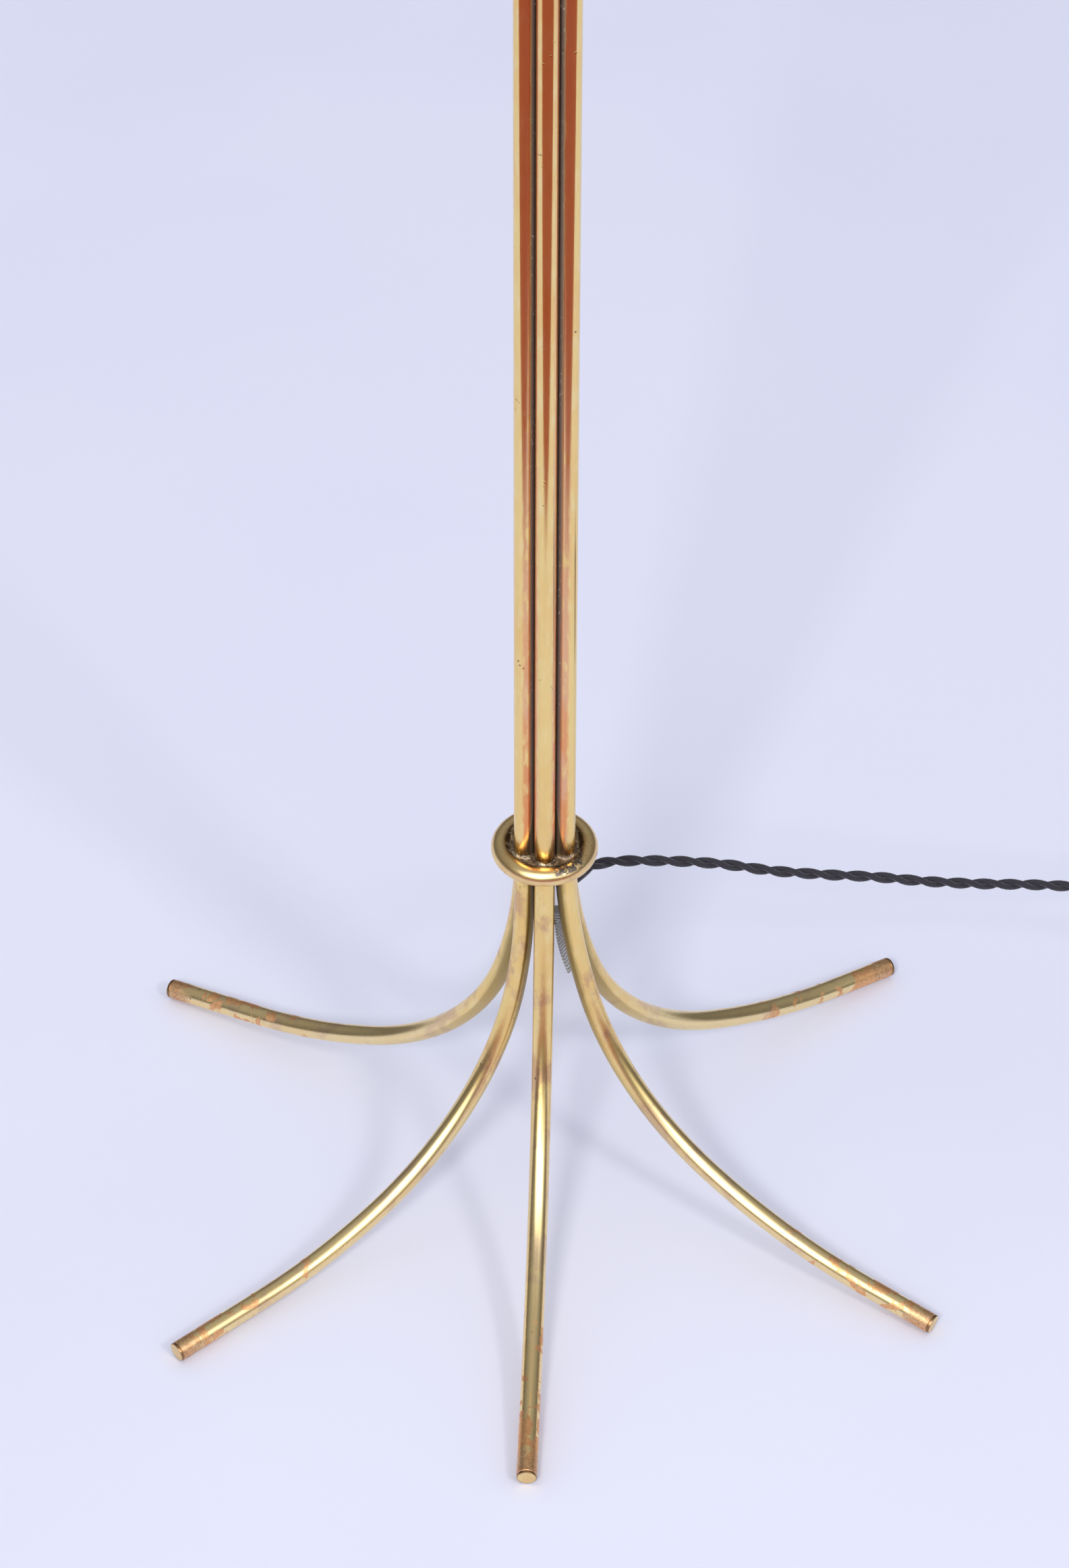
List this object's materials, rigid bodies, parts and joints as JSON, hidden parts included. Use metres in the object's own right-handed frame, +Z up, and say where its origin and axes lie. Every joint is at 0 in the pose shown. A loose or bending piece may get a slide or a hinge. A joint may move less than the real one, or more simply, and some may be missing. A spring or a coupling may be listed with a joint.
{
  "type": "floor lamp",
  "caption": "Brass floor lamp: bundled tubes held by a ring near the floor curve outwards as feet, with a push-bar lampholder, a bulb, a cone shade and a twisted textile flex.",
  "frame": {"origin": "on the floor under the stem's axis, the centre of the feet", "axes": "+Z up along the stem, -Y towards the front foot, +X to the right seen from the front"},
  "size_m": [0.712, 0.4474, 1.61],
  "materials": {
    "brass_tube": "unlacquered drawn brass, coppery tarnish towards the foot",
    "brass_cap": "unlacquered brass disc, satin",
    "brass_core": "unlacquered drawn brass, dull",
    "brass_ring": "polished brass rod with scuffs",
    "hard_solder": "dark solder with flux residue",
    "brass_turned": "turned brass, fine lathe marks",
    "brass_holder": "pressed brass lampholder, satin",
    "brass_thin": "bright pressed brass",
    "black_rubber": "moulded black rubber, matte",
    "clear_nylon": "clear nylon, slightly milky",
    "fabric_flex": "braided charcoal textile over two twisted cores",
    "porcelain": "glazed steatite",
    "steel": "zinc-plated steel",
    "bakelite": "dark brown moulded resin",
    "bulb_cap_metal": "pressed cap, plated",
    "clear_glass": "clear blown glass",
    "stem_glass": "drawn lead glass",
    "tungsten": "drawn tungsten wire",
    "white_wire": "white powder-coated wire",
    "shade_cloth": "natural linen on stiff card",
    "hook_loop": "black hook-and-loop strap",
    "plug_plastic": "black moulded plastic",
    "nickel_pin": "nickel-plated brass"
  },
  "bodies": {
    "lamp": {"leg_front": "brass_tube", "leg_front_right": "brass_tube", "leg_back_right": "brass_tube", "leg_back": "brass_tube", "leg_back_left": "brass_tube", "leg_front_left": "brass_tube", "foot_plug_front": "brass_cap", "foot_plug_front_right": "brass_cap", "foot_plug_back_right": "brass_cap", "foot_plug_back": "brass_cap", "foot_plug_back_left": "brass_cap", "foot_plug_front_left": "brass_cap", "centre_tube": "brass_core", "lower_ring": "brass_ring", "lower_braze": "hard_solder", "upper_ring": "brass_ring", "upper_braze": "hard_solder", "flex_sleeve": "black_rubber", "cable_tie": "clear_nylon", "inner_flex": "fabric_flex", "top_cap": "brass_turned", "top_nut": "brass_turned", "nipple": "brass_turned", "collar": "brass_turned", "holder_cap": "brass_holder", "holder_barrel": "brass_holder", "holder_insulator": "porcelain", "holder_screw_shell": "brass_thin", "holder_contact": "brass_thin", "terminal_screws": "steel", "shade_nut_lower": "brass_holder", "shade_nut_upper": "brass_holder", "bulb_cap": "bulb_cap_metal", "bulb_glass": "clear_glass", "bulb_stem": "stem_glass", "bulb_filament": "tungsten", "shade_carrier": "white_wire", "shade_top_ring": "white_wire", "shade_cover": "shade_cloth", "cord": "fabric_flex", "cord_coil": "fabric_flex", "cord_tail": "fabric_flex", "coil_tie": "hook_loop", "plug_base": "plug_plastic", "plug_cover": "plug_plastic", "plug_pin_left": "nickel_pin", "plug_pin_right": "nickel_pin", "plug_screw": "steel", "plug_sleeve": "black_rubber"},
    "switch": {"switch_bar": "brass_thin", "switch_button_left": "bakelite", "switch_button_right": "bakelite"}
  },
  "joints": [
    {"name": "switch_push", "type": "slide", "parent": "lamp", "child": "switch", "axis": [-1, 0, 0], "range_m": [0, 0.005]}
  ]
}
